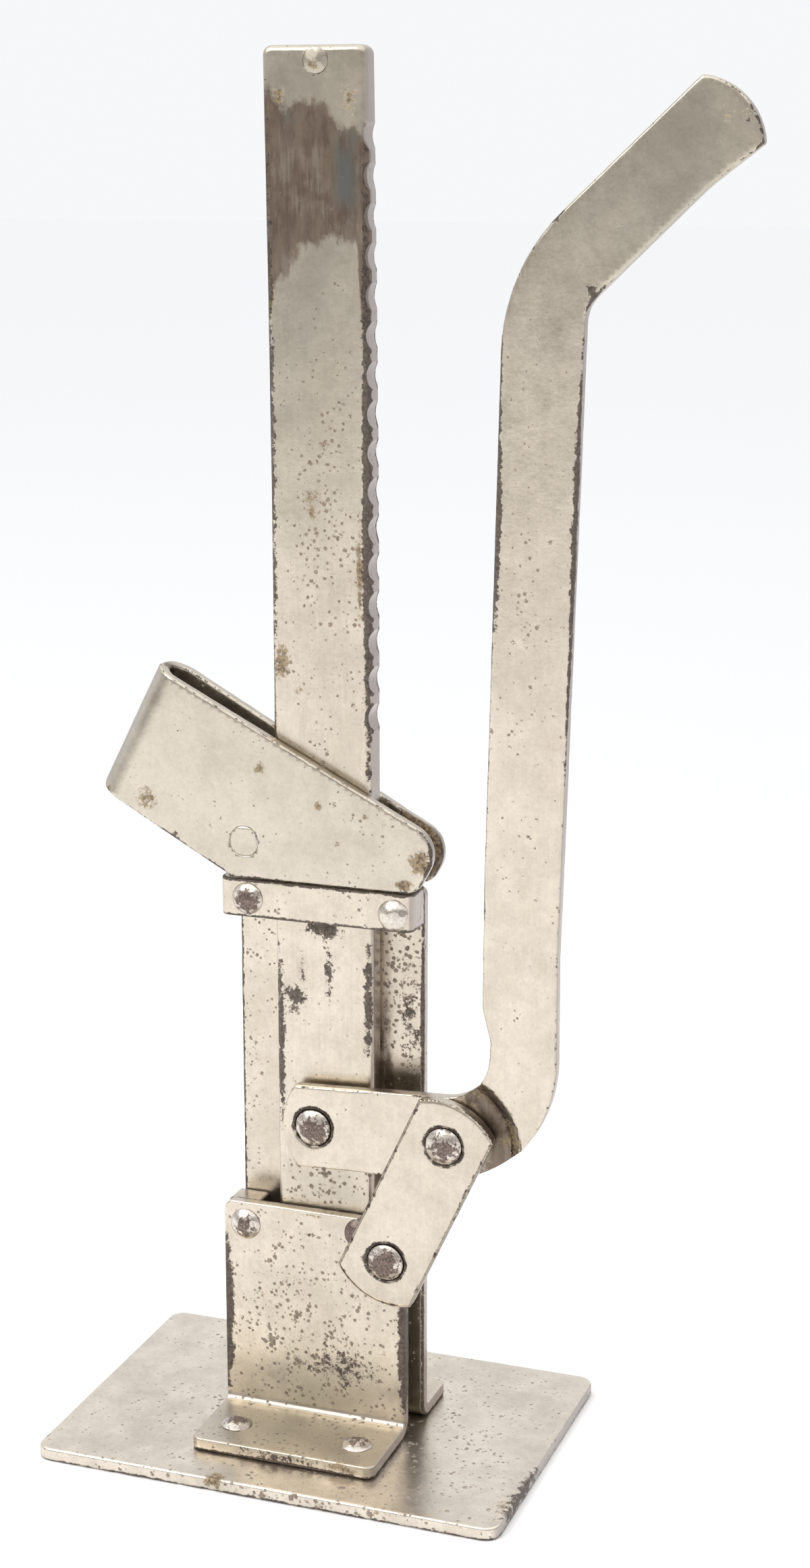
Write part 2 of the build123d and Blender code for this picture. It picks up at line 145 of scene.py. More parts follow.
def make_sun(name, place, spread, strength):
    """Even light from a wide part of the sky round place, as seen from the origin."""
    data = bpy.data.lights.new(name, "SUN")
    data.angle = math.radians(spread)
    data.energy = strength
    light = bpy.data.objects.new(name, data)
    light.rotation_euler = (-Vector(place)).to_track_quat("-Z", "Y").to_euler()
    scene.collection.objects.link(light)


def make_world():
    """Studio surround: pale behind and above the jack, darker at eye level in front of it."""
    world = bpy.data.worlds.new("studio")
    scene.world = world
    world.use_nodes = True
    tree = world.node_tree
    tree.nodes.clear()
    output = tree.nodes.new("ShaderNodeOutputWorld")
    background = tree.nodes.new("ShaderNodeBackground")
    tree.links.new(background.outputs[0], output.inputs[0])
    place = tree.nodes.new("ShaderNodeTexCoord").outputs["Generated"]
    behind = along(tree, place, (0.0, 1.0, 0.0))
    above = along(tree, place, (0.0, 0.0, 1.0))
    colour = blend_colour(tree, step(tree, behind, -0.55, 0.1), SURROUND_IN_FRONT, SURROUND_BEHIND)
    colour = blend_colour(tree, step(tree, above, 0.30, 0.75), colour, SURROUND_ABOVE)
    tree.links.new(colour, background.inputs["Color"])
    background.inputs["Strength"].default_value = 1.0


# ---------------------------------------------------------------- node helpers

def blank_material(name):
    """A new material, its node tree and its shader."""
    material = bpy.data.materials.new(name)
    material.use_nodes = True
    shader = material.node_tree.nodes["Principled BSDF"]
    shader.inputs["Metallic"].default_value = 0.0
    return material, material.node_tree, shader


def new_material(piece, name):
    """Give the piece one new material and return its node tree and shader."""
    material, tree, shader = blank_material(name)
    piece.data.materials.clear()
    piece.data.materials.append(material)
    return tree, shader


def along(tree, place, direction):
    """How far place lies along direction."""
    node = tree.nodes.new("ShaderNodeVectorMath")
    node.operation = "DOT_PRODUCT"
    node.inputs[1].default_value = direction
    tree.links.new(place, node.inputs[0])
    return node.outputs["Value"]


def blend_colour(tree, factor, first, second):
    """first where factor is 0 and second where it is 1. Each is a colour or a socket."""
    mix = tree.nodes.new("ShaderNodeMix")
    mix.data_type = "RGBA"
    tree.links.new(factor, mix.inputs["Factor"])
    for socket, colour in ((mix.inputs[6], first), (mix.inputs[7], second)):
        if isinstance(colour, tuple):
            socket.default_value = (*colour, 1.0)
        else:
            tree.links.new(colour, socket)
    return mix.outputs[2]


def math_node(tree, operation, *values, clamp=False):
    """Result of a Math node, from sockets or numbers."""
    node = tree.nodes.new("ShaderNodeMath")
    node.operation = operation
    node.use_clamp = clamp
    for socket, value in zip(node.inputs, values):
        if isinstance(value, (int, float)):
            socket.default_value = value
        else:
            tree.links.new(value, socket)
    return node.outputs[0]


def step(tree, value, low, high):
    """0 below low and 1 above high, with a smooth change between them."""
    node = tree.nodes.new("ShaderNodeMapRange")
    node.interpolation_type = "SMOOTHSTEP"
    node.inputs["From Min"].default_value = low
    node.inputs["From Max"].default_value = high
    tree.links.new(value, node.inputs["Value"])
    return node.outputs["Result"]


def noise_node(tree, size, detail=3.0, roughness=0.55, stretch=(1.0, 1.0, 1.0), offset=0.0):
    """Noise whose features are about size metres across, along X, Y and Z times stretch."""
    place = tree.nodes.new("ShaderNodeTexCoord").outputs["Object"]
    mapping = tree.nodes.new("ShaderNodeMapping")
    mapping.inputs["Scale"].default_value = tuple(1.0 / (size * s) for s in stretch)
    mapping.inputs["Location"].default_value = (offset, offset * 0.7, offset * 1.3)
    tree.links.new(place, mapping.inputs["Vector"])
    texture = tree.nodes.new("ShaderNodeTexNoise")
    texture.inputs["Scale"].default_value = 1.0
    texture.inputs["Detail"].default_value = detail
    texture.inputs["Roughness"].default_value = roughness
    tree.links.new(mapping.outputs["Vector"], texture.inputs["Vector"])
    return texture.outputs["Fac"]


def dots_node(tree, size, amount, offset=0.0):
    """Irregular dots about a third of size metres across. amount, 0 to 1, says how many cells have one."""
    place = tree.nodes.new("ShaderNodeTexCoord").outputs["Object"]
    jitter = tree.nodes.new("ShaderNodeTexNoise")
    jitter.inputs["Scale"].default_value = 6.0 / size
    jitter.inputs["Detail"].default_value = 3.0
    tree.links.new(place, jitter.inputs["Vector"])
    warp = tree.nodes.new("ShaderNodeVectorMath")
    warp.operation = "MULTIPLY_ADD"
    warp.inputs[1].default_value = (0.75 * size,) * 3
    tree.links.new(jitter.outputs["Color"], warp.inputs[0])
    tree.links.new(place, warp.inputs[2])
    mapping = tree.nodes.new("ShaderNodeMapping")
    mapping.inputs["Scale"].default_value = (1.0 / size,) * 3
    mapping.inputs["Rotation"].default_value = (0.4, 0.9, 0.6)
    mapping.inputs["Location"].default_value = (offset, offset * 0.7, offset * 1.3)
    tree.links.new(warp.outputs[0], mapping.inputs["Vector"])
    cells = tree.nodes.new("ShaderNodeTexVoronoi")
    cells.inputs["Scale"].default_value = 1.0
    tree.links.new(mapping.outputs["Vector"], cells.inputs["Vector"])
    chance = tree.nodes.new("ShaderNodeSeparateColor")
    tree.links.new(cells.outputs["Color"], chance.inputs[0])
    radius = total(tree, (chance.outputs[0], 0.6), (amount, 0.6), (1.0, -0.6))
    return step(tree, math_node(tree, "SUBTRACT", radius, cells.outputs["Distance"]), -0.02, 0.06)


def attribute(tree, name):
    """A number that write_attributes stored in the mesh."""
    node = tree.nodes.new("ShaderNodeAttribute")
    node.attribute_name = name
    return node.outputs["Fac"]


def total(tree, *terms):
    """Sum of (socket or number, weight) pairs."""
    result = 0.0
    for value, weight in terms:
        result = math_node(tree, "MULTIPLY_ADD", value, weight, result)
    return result


def dimmed(tree, colour, factor):
    """colour times factor."""
    node = tree.nodes.new("ShaderNodeVectorMath")
    node.operation = "SCALE"
    tree.links.new(colour, node.inputs[0])
    tree.links.new(factor, node.inputs["Scale"])
    return node.outputs[0]


# ---------------------------------------------------------------- metal

def bump_node(tree, height, strength, distance):
    """Surface normal bent by height, which stands for distance metres at 1."""
    bump = tree.nodes.new("ShaderNodeBump")
    bump.inputs["Strength"].default_value = strength
    bump.inputs["Distance"].default_value = distance
    tree.links.new(height, bump.inputs["Height"])
    return bump.outputs["Normal"]


def plated_metal(name, light, shade, pits, wear, flakes, rough=0.3, streak=0.5):
    """Old nickel plate: cream tones, pits, bare flakes, rust, brown film and worn edges.

    pits, wear and flakes run from 0 to 1 and hold all over. The mesh attributes edge, loss, rust,
    slate, pitted and dull, and the brown film one, say where there is more; the brown film is painted
    shade in places. side says where faces look left or right, and there the colour is painted shade.
    """
    material, tree, shader = blank_material(name)
    edge = attribute(tree, "edge")
    loss = attribute(tree, "loss")
    rust = attribute(tree, "rust")
    tarnish_and_shade = attribute(tree, "tarnish_and_shade")
    slate = attribute(tree, "slate")
    pitted = attribute(tree, "pitted")
    dull = attribute(tree, "dull")
    side = attribute(tree, "side")

    broad = noise_node(tree, 16 * MM, 4, 0.6)
    cloud = noise_node(tree, 4.5 * MM, 5, 0.65, offset=3)
    blot = noise_node(tree, 1.5 * MM, 7, 0.8, offset=11)
    grain = noise_node(tree, 0.5 * MM, 4, 0.7, offset=5)
    lines = noise_node(tree, 0.5 * MM, 3, 0.6, (1.0, 1.0, 14.0), 17)
    smear = noise_node(tree, 2.0 * MM, 5, 0.7, (1.0, 1.0, 3.5), 23)

    # cream plate
    tone = total(tree, (broad, 0.55), (cloud, 0.45))
    colour = blend_colour(tree, step(tree, tone, 0.36, 0.62), shade, light)
    fine = total(tree, (grain, 0.34), (lines, 0.26 * streak), (cloud, 0.24), (blot, 0.2),
                 (1.0, 0.61 - 0.13 * streak))
    colour = dimmed(tree, colour, fine)
    grey = blend_colour(tree, step(tree, broad, 0.42, 0.6), *DULL_PLATE)
    colour = blend_colour(tree, math_node(tree, "MULTIPLY", dull, 0.85, clamp=True), colour, grey)
    # faces that look left or right are painted in shade
    colour = blend_colour(tree, math_node(tree, "MULTIPLY", side, 0.7), colour, SIDE_FACE_SHADE)

    # brown film, and slate grey film. At the lever's step and beside the bar on the upright,
    # the brown film is painted shade.
    film = step(tree, total(tree, (tarnish_and_shade, 0.8), (smear, 0.8), (blot, 0.5)), 0.98, 1.22)
    brown = blend_colour(tree, step(tree, smear, 0.36, 0.64), *BROWN_FILM)
    rubbed = step(tree, total(tree, (lines, 0.5), (cloud, 0.5)), 0.47, 0.66)
    brown = blend_colour(tree, rubbed, brown, WORN_FILM)
    greyed = step(tree, total(tree, (slate, 0.8), (smear, 0.9)), 0.65, 1.1)
    brown = blend_colour(tree, greyed, brown, SLATE_FILM)
    colour = blend_colour(tree, math_node(tree, "MULTIPLY", film, 0.94), colour, brown)

    # rust in speckles
    stain = step(tree, total(tree, (rust, 0.75), (blot, 0.9), (grain, 0.45)), 1.02, 1.13)
    rusty = blend_colour(tree, step(tree, grain, 0.40, 0.60), *RUST)
    colour = blend_colour(tree, math_node(tree, "MULTIPLY", stain, 0.9), colour, rusty)

    # pits, flakes and worn edges
    crowd = total(tree, (cloud, 1.2), (pitted, 0.34), (1.0, 0.45 * pits - 0.60))
    small = dots_node(tree, 0.7 * MM, math_node(tree, "MULTIPLY", crowd, 1.6), 2.0)
    large = dots_node(tree, 1.7 * MM, math_node(tree, "MULTIPLY", crowd, 0.9), 9.0)
    specks = math_node(tree, "MAXIMUM", small, large)
    flake_limit = 0.745 - 0.06 * flakes
    bare = step(tree, total(tree, (blot, 1.0), (loss, 0.42)), flake_limit, flake_limit + 0.03)
    near = math_node(tree, "SUBTRACT", 1.0, step(tree, edge, 0.1, 1.0))
    wear_limit = 1.06 - 0.3 * wear
    worn = step(tree, total(tree, (near, 0.42), (blot, 0.8), (broad, 0.30), (loss, 0.25)),
                wear_limit, wear_limit + 0.06)
    gone = math_node(tree, "MAXIMUM", bare, worn)
    dark = math_node(tree, "MAXIMUM", specks, gone)
    pit = blend_colour(tree, step(tree, grain, 0.35, 0.65), *PIT)
    colour = blend_colour(tree, math_node(tree, "MULTIPLY", specks, 0.8), colour, pit)
    steel = blend_colour(tree, step(tree, grain, 0.35, 0.68), *BARE_STEEL)
    colour = blend_colour(tree, math_node(tree, "MULTIPLY", gone, 0.94), colour, steel)
    tree.links.new(colour, shader.inputs["Base Color"])

    # what covers the metal is rougher and less metallic
    cover = math_node(tree, "MAXIMUM", dark, math_node(tree, "MULTIPLY", stain, 0.8))
    tree.links.new(math_node(tree, "MULTIPLY_ADD", cover, -0.7, 1.0), shader.inputs["Metallic"])
    tree.links.new(total(tree, (cloud, 0.16), (grain, 0.08), (film, 0.10), (cover, 0.28), (dull, 0.08),
                         (1.0, rough - 0.12)), shader.inputs["Roughness"])
    height = total(tree, (grain, 0.4), (lines, 0.35 * streak), (cloud, 1.6), (dark, -0.9), (stain, 0.3))
    tree.links.new(bump_node(tree, height, 0.5, 0.06 * MM), shader.inputs["Normal"])
    return material


def hammered_metal(name, dark_share):
    """Rivet and pin heads: struck metal, brown in patches over dark_share of the crowns, 0 to 1."""
    material, tree, shader = blank_material(name)
    loss = attribute(tree, "loss")
    patch = noise_node(tree, 0.9 * MM, 6, 0.75, offset=4)
    grain = noise_node(tree, 0.3 * MM, 4, 0.7, offset=8)
    bright = blend_colour(tree, step(tree, grain, 0.3, 0.7), *STRUCK_HEAD)
    brown = blend_colour(tree, step(tree, grain, 0.35, 0.65), *BROWN_HEAD)
    limit = 0.66 - 0.15 * dark_share
    gone = step(tree, total(tree, (patch, 1.0), (loss, 0.32)), limit, limit + 0.06)
    colour = blend_colour(tree, math_node(tree, "MULTIPLY", gone, 0.9), bright, brown)
    tree.links.new(colour, shader.inputs["Base Color"])
    tree.links.new(math_node(tree, "MULTIPLY_ADD", gone, -0.3, 1.0), shader.inputs["Metallic"])
    tree.links.new(total(tree, (gone, 0.12), (grain, 0.14), (1.0, 0.21)), shader.inputs["Roughness"])
    height = total(tree, (patch, 0.7), (grain, 0.4), (gone, -0.3))
    tree.links.new(bump_node(tree, height, 0.5, 0.07 * MM), shader.inputs["Normal"])
    return material


# ---------------------------------------------------------------- meshes

def sharp_edges(bm, angle, quiet=()):
    """Edges that turn by more than angle, outside the quiet (x, z, radius) zones in millimetres."""
    found = []
    for e in bm.edges:
        if len(e.link_faces) == 2 and e.calc_face_angle(0.0) > angle:
            middle = (e.verts[0].co + e.verts[1].co) / 2 / MM
            if all(math.hypot(middle.x - x, middle.z - z) > radius for x, z, radius in quiet):
                found.append(e)
    return found


def edge_tree(bm, quiet):
    """KD-tree of points along the edges that wear. One far point keeps it from being empty."""
    points = [Vector((0, 0, -1))]
    for e in sharp_edges(bm, WEAR_ANGLE, quiet):
        a, b = e.verts[0].co, e.verts[1].co
        count = max(1, int((b - a).length / EDGE_STEP))
        points += [a.lerp(b, i / count) for i in range(count + 1)]
    tree = kdtree.KDTree(len(points))
    for i, point in enumerate(points):
        tree.insert(point, i)
    tree.balance()
    return tree


def slice_between(bm, faces, axis, low, high, count):
    """Cut faces into count strips along an axis, halving them each time."""
    if count < 2 or not faces:
        return
    left = count // 2
    middle = low + (high - low) * left / count
    place = Vector((0, 0, 0))
    place[axis] = middle
    normal = Vector((0, 0, 0))
    normal[axis] = 1.0
    edges = list(dict.fromkeys(e for f in faces for e in f.edges))
    verts = list(dict.fromkeys(v for f in faces for v in f.verts))
    cut = bmesh.ops.bisect_plane(bm, geom=verts + edges + faces, dist=0.01 * MM, plane_co=place,
                                 plane_no=normal)
    parts = [g for g in cut["geom"] if isinstance(g, bmesh.types.BMFace)]
    below = [f for f in parts if f.calc_center_bounds()[axis] < middle]
    above = [f for f in parts if f.calc_center_bounds()[axis] >= middle]
    slice_between(bm, below, axis, low, middle, left)
    slice_between(bm, above, axis, middle, high, count - left)


def slice_grid(bm, cell):
    """Cut the faces on a grid of cell metres, so that fine wear has points to act on."""
    for axis in range(3):
        low = min(v.co[axis] for v in bm.verts)
        high = max(v.co[axis] for v in bm.verts)
        slice_between(bm, bm.faces[:], axis, low, high, round((high - low) / cell))


def wear(bm, tree, warp, nick, seed):
    """Move points inwards: a gentle warp over the faces, and nicks along the sharp edges."""
    shift = Vector((seed * 3.1, seed * 1.7, seed * 5.3))
    moves = []
    for v in bm.verts:
        near = max(0.0, 1.0 - tree.find(v.co)[2] / NICK_REACH)
        low = noise.noise(v.co / WARP_SIZE + shift) * 0.5 - 0.5
        large, small = (noise.noise(v.co / size + shift) for size in NICK_SIZES)
        rough = large * 0.7 + small * 0.3
        moves.append(v.normal * (warp * low - nick * near * max(0.0, rough + 0.05)))
    for v, move in zip(bm.verts, moves):
        v.co += move


def hammer(bm, centre, outward, reach, blows, depth, rng):
    """Flatten a domed head, of radius reach round centre, with light random blows."""
    head = [v for v in bm.verts if (v.co - centre).length < reach and (v.co - centre).dot(outward) > 0]
    for _ in range(blows):
        lean = Vector([rng.uniform(-BLOW_SPREAD, BLOW_SPREAD) for _ in range(3)])
        tilt = (outward + lean).normalized()
        level = max((v.co - centre).dot(tilt) for v in head) - depth * rng.uniform(0.4, 1.0)
        for v in head:
            over = (v.co - centre).dot(tilt) - level
            if over > 0:
                v.co -= tilt * over


def hammer_heads(node, outward, blows=9, depth=0.09):
    """Shape function that hammers each of a node's heads on the side that outward points to.

    depth, in millimetres, is the most that a blow takes off.
    """
    def shape(bm):
        rng = random.Random(node)
        for island in islands(bm):
            low = [min(v.co[k] for v in island) for k in range(3)]
            high = [max(v.co[k] for v in island) for k in range(3)]
            axis = max(range(3), key=lambda k: abs(outward[k]))
            centre = Vector([(a + b) / 2 for a, b in zip(low, high)])
            radius = (high[(axis + 1) % 3] - low[(axis + 1) % 3]) / 2
            centre[axis] = (high[axis] - radius) if outward[axis] > 0 else (low[axis] + radius)
            hammer(bm, centre, Vector(outward), 1.3 * radius, blows, depth * MM, rng)
    return shape


def islands(bm):
    """Groups of connected points, in the mesh's own order."""
    seen = set()
    for first in bm.verts:
        group, front = [], [first]
        while front:
            v = front.pop()
            if v not in seen:
                seen.add(v)
                group.append(v)
                front += [e.other_vert(v) for e in v.link_edges]
        if group:
            yield group


def smooth_joggle(bm):
    """Soften the step in the lever where it passes in front of the arm."""
    low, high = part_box("link_pin")
    pivot = (low + high) / 2
    for way in (-1, 1):
        chosen = {v for v in bm.verts if v.normal.y * way > 0.3
                  and math.hypot(v.co.x - pivot.x, v.co.z - pivot.z) < JOGGLE_REACH}
        near = {v: [w for w in (e.other_vert(v) for e in v.link_edges) if w in chosen] for v in chosen}
        for _ in range(JOGGLE_PASSES):
            levels = {v: sum(w.co.y for w in near[v]) / len(near[v]) if near[v] else v.co.y for v in chosen}
            for v, level in levels.items():
                v.co.y = level


def lean_bar(bm):
    """The bar's upper end is bent slightly to the left."""
    for v in bm.verts:
        v.co.x -= LEAN * max(0.0, (v.co.z / MM - LEAN_FROM) / LEAN_LENGTH) ** 2


def worn_piece(node, body, rounding, cell, warp, nick, seed, shape=None, quiet=()):
    """Piece that stands for a CAD node: the same shape with rounded, worn edges. Sizes in millimetres.

    quiet lists (x, z, radius) zones where the edges stay crisp and clean.
    """
    mesh = frame["nodes"][node].data.copy()
    piece = bpy.data.objects.new(node + "_piece", mesh)
    scene.collection.objects.link(piece)
    bm = bmesh.new()
    bm.from_mesh(mesh)
    bmesh.ops.remove_doubles(bm, verts=bm.verts, dist=MERGE_DISTANCE)
    bmesh.ops.dissolve_limit(bm, angle_limit=FLAT_ANGLE, verts=bm.verts, edges=bm.edges)
    tree = edge_tree(bm, quiet)
    if rounding:
        bmesh.ops.bevel(bm, geom=sharp_edges(bm, BEVEL_ANGLE, quiet), offset=rounding * MM,
                        offset_type="OFFSET", segments=3, profile=0.5, affect="EDGES", clamp_overlap=False)
    slice_grid(bm, cell * MM)
    bm.normal_update()
    wear(bm, tree, warp * MM, nick * MM, seed)
    if shape:
        shape(bm)
    bmesh.ops.triangulate(bm, faces=[f for f in bm.faces if len(f.verts) > 4])
    for f in bm.faces:
        f.smooth = True
    bm.to_mesh(mesh)
    bm.free()
    write_attributes(piece, node, tree)
    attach(piece, body)
    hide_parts(node)
    return piece


def falloff(place, centre, radii):
    """1 at the centre of an ellipsoid, 0 at its surface and beyond."""
    reach = math.sqrt(sum(((p / MM - c) / r) ** 2 for p, c, r in zip(place, centre, radii)))
    return max(0.0, 1.0 - reach)


def write_attributes(piece, node, tree):
    """Store what plated_metal reads at each point.

    edge is the distance to a worn edge in millimetres, and side is 1 on faces that look left or right,
    where plated_metal paints shade.
    The rest are the node's MARKS.
    """
    mesh = piece.data
    values = {
        "edge": [tree.find(v.co)[2] / MM for v in mesh.vertices],
        "side": [max(0.0, min(1.0, (abs(v.normal.x) - 0.6) * 4)) for v in mesh.vertices],
    }
    for kind in ("loss", "rust", "tarnish_and_shade", "slate", "pitted", "dull"):
        marks = MARKS.get(node, {}).get(kind, [])
        values[kind] = [max([falloff(v.co, centre, radii) * strength for centre, radii, strength in marks],
                            default=0.0) for v in mesh.vertices]
    for kind, numbers in values.items():
        layer = mesh.attributes.new(kind, "FLOAT", "POINT")
        layer.data.foreach_set("value", numbers)


# The lever's step lies round the link pin: (x, z) and radius in millimetres, angles in radians.
# Brown film painted round it is painted shade of the step's slope, over wear where the link turns.
LINK_PIN = (21.65, 50.0)
STEP_SHADE_RADIUS = 8.4
STEP_SHADE_ANGLES = (-0.7, -0.45, -0.2, 0.05, 0.3, 0.55, 0.8, 1.05)

# Where the plating has gone or changed, and where brown film is painted shade: centre and radii in
# millimetres, and strength. The brown film kind is brown film, and painted shade at the lever's step
# and beside the bar on the upright; slate is grey film within it, loss is bare steel, pitted is dots,
# dull is grey plate.
MARKS = {
    "rack_bar": {
        "tarnish_and_shade": [((-6, -2, 181.3), (7, 2.5, 17.5), 2.2), ((0, -2, 183.5), (8, 2.5, 12.8), 2.2),
                    ((5.5, -2, 182), (6, 2.5, 10), 2.2), ((8.4, -2, 176), (1.6, 2.5, 20), 1.8)],
        "slate": [((5.6, -2, 183), (3.0, 2, 10), 1.0), ((-3, -2, 191), (3, 2, 3), 0.6)],
        "loss": [((2.4, -2, 72), (1.5, 1.5, 8), 0.85), ((-1.8, -2, 72), (1.6, 1.5, 6), 0.7),
                 ((1.5, -2, 78.5), (5, 1.5, 3.5), 1.1),
                 ((-2.8, -2, 67.5), (3.2, 1.5, 4), 1.0), ((-5.3, -2, 62), (1.4, 1.5, 22), 1.1),
                 ((4, -2, 44), (6, 1.5, 3), 0.8), ((8.9, -2.2, 147), (1.7, 1.3, 74), 2.0),
                 ((8.4, -2, 68), (1.4, 1.5, 14), 1.15), ((-6.1, -2, 150), (1.9, 1.6, 72), 1.25),
                 ((1.8, -2, 197.2), (2.6, 1, 2.4), 0.9)],
        "rust": [((0.3, -2, 139), (3.2, 2, 11), 0.62), ((-4.5, -2, 116.5), (3.4, 2, 8), 0.72),
                 ((-1.8, -2, 113), (2.2, 2, 4), 0.6), ((-5.6, -2, 167), (1.3, 2, 6), 1.0),
                 ((7.4, -2, 130), (1.6, 2, 22), 0.7), ((-4, -2, 193.5), (2.4, 2, 3.5), 0.7),
                 ((6.2, -2, 193), (3, 2, 5.5), 0.65), ((1, -2, 193), (9, 2, 6), 0.4),
                 ((1.3, -2, 197.5), (3, 2, 3), 0.8),
                 ((-5.2, -2, 125), (1.5, 2, 25), 0.5), ((2, -2, 39), (9, 1.5, 5.5), 0.4),
                 ((-2, 2, 150), (3, 1.5, 9), 0.6)],
        "pitted": [((2, -2, 135), (9, 3, 45), 1.0), ((2, -2, 40), (9, 3, 8), 1.4),
                   ((1, 2, 130), (9, 1.5, 70), 0.8)],
        "dull": [((1, -2, 185), (14, 4, 62), 1.15), ((2, -2, 38), (12, 3, 7), 0.7)],
    },
    "clip_body": {
        "rust": [((-25, -4, 96), (4.8, 3, 4), 0.72), ((17, -4, 90), (3.5, 3, 4), 0.9),
                 ((-7.1, -4, 101.7), (2.2, 2, 2.2), 0.8), ((-31, -4, 96.5), (2.5, 4, 2), 0.7),
                 ((14.5, -4, 86.5), (3, 3, 2), 0.9), ((-20, 4, 98), (4, 1.5, 3), 0.7),
                 ((14, 2.3, 92), (12, 1.0, 11), 0.8),
                 ((1.6, -4, 96.8), (1.6, 2, 1.6), 0.85), ((8.7, -4, 96), (1.3, 2, 1.3), 0.8),
                 ((4.6, -4, 91.7), (1.3, 2, 1.3), 0.75), ((10.7, -4, 98.1), (1.3, 2, 1.3), 0.8),
                 ((12, -4, 95), (5, 2, 4), 0.45)],
        "tarnish_and_shade": [((15, 2.3, 92), (14, 1.1, 13), 1.2), ((-18, 0, 110), (16, 3.2, 12), 1.4)],
        "pitted": [((10, -4, 94), (9, 3, 6), 0.9), ((-6, 4, 98), (26, 1.5, 12), 0.8)],
        "loss": [((18, -4, 90), (1.5, 3, 5), 0.7), ((-32.5, -4, 97.4), (2.2, 2, 2), 1.1),
                 ((-21, -4, 90.6), (5, 2, 1.6), 0.7), ((-14, -4, 86.8), (4, 2, 1.6), 0.7)],
    },
    "lever": {
        # brown film round the step: painted shade of its slope, over wear where the link turns
        "tarnish_and_shade": [((LINK_PIN[0] + STEP_SHADE_RADIUS * math.cos(turn), -6.5,
                      LINK_PIN[1] + STEP_SHADE_RADIUS * math.sin(turn)), (3.8, 4, 3.8), 1.5)
                    for turn in STEP_SHADE_ANGLES],
        "rust": [((31, -6, 52), (5, 3, 8), 0.8), ((26, -6, 58), (4, 3, 3), 0.8),
                 ((36.5, -7.3, 177), (3, 2, 3), 0.5),
                 ((59, -7.3, 190), (9, 2, 6), 0.42), ((33, -7.3, 172), (6, 2, 8), 0.3)],
        "loss": [((0.9, -5, 49.25), (3.7, 1.2, 3.7), 1.5), ((36.5, -7.3, 178), (2.5, 2, 3), 0.6),
                 ((61.5, -7.3, 189), (3.5, 2, 4), 0.5), ((28.6, -7.3, 145), (1.4, 1.6, 36), 1.4),
                 ((39.8, -7.3, 126), (1.4, 1.6, 46), 1.4), ((41.5, -7.3, 168.5), (2, 1.6, 4), 1.0)],
        "pitted": [((33, -7.3, 130), (9, 3, 62), 0.9)],
        "dull": [((52, -7.3, 188), (34, 4, 34), 0.85)],
    },
    "link": {
        "loss": [((21.65, -7.3, 50), (3.7, 1.0, 3.7), 1.5), ((12.9, -7.3, 31.1), (3.7, 1.0, 3.7), 1.5),
                 ((9.6, -7.3, 31.2), (1, 1, 1), 1.2)],
    },
    "front_bracket": {
        "pitted": [((0, -4, 14), (24, 2, 24), 1.0), ((0, -12, 4), (18, 9, 2), 0.9)],
        "loss": [((-13.9, -4, 18), (2.1, 2, 20), 1.6), ((14.6, -4, 16), (1.7, 3, 16), 1.4),
                 ((5, -4, 12), (12, 2, 8), 0.62), ((-4, -4, 24), (8, 2, 5), 0.45),
                 ((0, -18, 3), (15, 2, 1.8), 0.8), ((0, -3.6, 32), (12, 2, 0.9), 0.5)],
        "dull": [((0, -11, 4), (24, 10, 2.2), 1.1), ((0, -4, 5), (20, 2, 9), 0.8)],
        "rust": [((10, -17, 3), (6, 2.5, 2), 0.8), ((-8, -4, 22), (3, 2, 3), 0.5),
                 ((4, -4, 8), (11, 2, 7), 0.5), ((0, -18.5, 3), (14, 1.5, 2), 0.55),
                 ((0, -4, 35), (13, 2, 1.2), 0.6)],
    },
    "upright": {
        # brown film at x 9.5 is painted shadow of the bar; dense dots and bare steel at x 12-14 are specks,
        # partly painted shade
        "pitted": [((12, 2, 72), (6, 2, 22), 1.6), ((-11, 0, 60), (5, 4, 30), 0.7),
                   ((0, 4.2, 42), (20, 1.6, 50), 0.9)],
        "rust": [((5, 4.2, 20), (6, 1.6, 10), 0.6), ((-9, 4.2, 64), (4, 1.6, 8), 0.55)],
        "loss": [((13.5, 2, 65), (4, 2, 16), 0.6), ((-12, 0, 42), (3, 4, 8), 0.3)],
        "tarnish_and_shade": [((9.5, 2, 55), (3, 2, 26), 0.9)],
    },
    "guide_strap": {
        "pitted": [((0, -5, 82), (16, 3, 4), 0.3)],
        "loss": [((12, -5, 80), (4, 3, 1.6), 0.9), ((-13.5, -5, 82), (1.2, 3, 4), 0.8)],
    },
    "base_plate": {
        "rust": [((-7, -24, 1.5), (3.5, 3, 2), 1.0), ((20, -24, 1.5), (14, 2, 2), 0.6),
                 ((34, -18, 2), (4, 9, 2), 0.6)],
        "pitted": [((5, -5, 2), (42, 32, 3), 0.7), ((5, -24.6, 1), (36, 1, 3), 1.3)],
        "loss": [((35.4, -14, 1.5), (2, 14, 2), 1.0), ((0, -24.8, 1), (36, 1, 1.5), 0.4)],
    },
    "strap_rivets": {"loss": [((-9.3, -5, 82.0), (3, 3, 3), 1.25)]},
    "bar_rivet": {"dull": [((1.35, -2, 198), (5, 3, 5), 1.3)],
                  "rust": [((0.9, -2.4, 197.6), (2.4, 2, 2.4), 0.65)]},
    "front_foot_rivets": {"loss": [((-9, -11.4, 5), (3, 3, 2), 0.9), ((9.9, -11.4, 5), (3, 3, 2), 0.7)]},
    "lever_pin": {"loss": [((1.5, -6, 49.0), (2.6, 3, 2.6), 1.0)]},
    "link_pin": {"loss": [((21.8, -8.4, 49.6), (2.4, 3, 2.2), 0.7)]},
    "base_pin": {"loss": [((12.9, -8.4, 31.0), (3, 3, 3), 0.9)]},
    "frame_rivet": {"loss": [((-10.2, -5, 32.3), (2.6, 3, 2.6), 0.9)]},
    "stop_rivet": {"loss": [((7.6, -5, 33), (5, 4, 5), 2.2)]},
}

